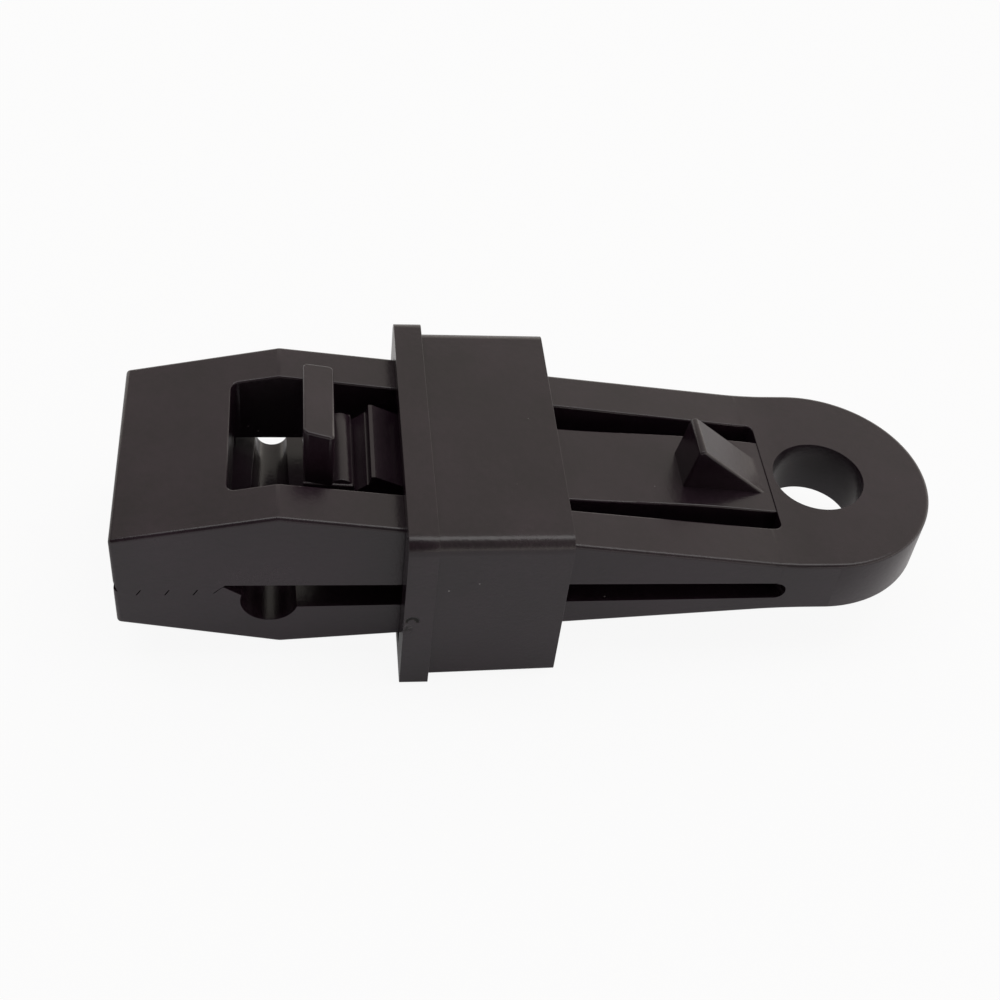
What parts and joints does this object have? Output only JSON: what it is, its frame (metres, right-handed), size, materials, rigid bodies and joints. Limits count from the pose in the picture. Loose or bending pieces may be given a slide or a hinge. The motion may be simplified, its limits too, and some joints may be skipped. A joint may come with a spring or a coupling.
{
  "type": "tarp clip",
  "caption": "Plastic tarp clip: toothed spring jaws with a hem-cord groove and a round tie eye, squeezed shut by a sliding collar, with a press tongue in the upper jaw's window.",
  "frame": {"origin": "centre of the eye, halfway through the thickness of the flat tail", "axes": "+X from the jaws towards the rounded tail end, so the jaws' mouth faces -X; +Z along the eye and out of the side with the window and the press tongue; Y across the clip"},
  "size_m": [0.0901, 0.0342, 0.0262],
  "materials": {
    "moulding_plastic": "fine moulded grain, matte black",
    "collar_plastic": "fine moulded grain, matte black"
  },
  "bodies": {
    "eyelet_block": {"eyelet_block": "moulding_plastic"},
    "upper_jaw": {"upper_jaw": "moulding_plastic"},
    "lower_jaw": {"lower_jaw": "moulding_plastic"},
    "spring_tongue": {"spring_tongue": "moulding_plastic"},
    "collar": {"collar": "collar_plastic"}
  },
  "joints": [
    {"name": "collar_slide", "type": "slide", "parent": "eyelet_block", "child": "collar", "axis": [1, 0, 0], "range_m": [0, 0.0154]},
    {"name": "upper_jaw_open", "type": "hinge", "parent": "eyelet_block", "child": "upper_jaw", "pos_m": [-0.00722, 0, 0.00218], "axis": [0, 1, 0], "range_deg": [0, 3.62]},
    {"name": "lower_jaw_open", "type": "hinge", "parent": "eyelet_block", "child": "lower_jaw", "pos_m": [-0.00722, 0, -0.00248], "axis": [0, -1, 0], "range_deg": [0, 4.86]},
    {"name": "tongue_press", "type": "hinge", "parent": "eyelet_block", "child": "spring_tongue", "pos_m": [-0.0185, 0, 0.00322], "axis": [0, -1, 0], "range_deg": [0, 5], "stiffness_Nm_per_rad": 4}
  ],
  "couplings": [
    {"joint": "upper_jaw_open", "follows": "collar_slide", "rad_per_m": 4.1},
    {"joint": "lower_jaw_open", "follows": "collar_slide", "rad_per_m": 5.5}
  ]
}
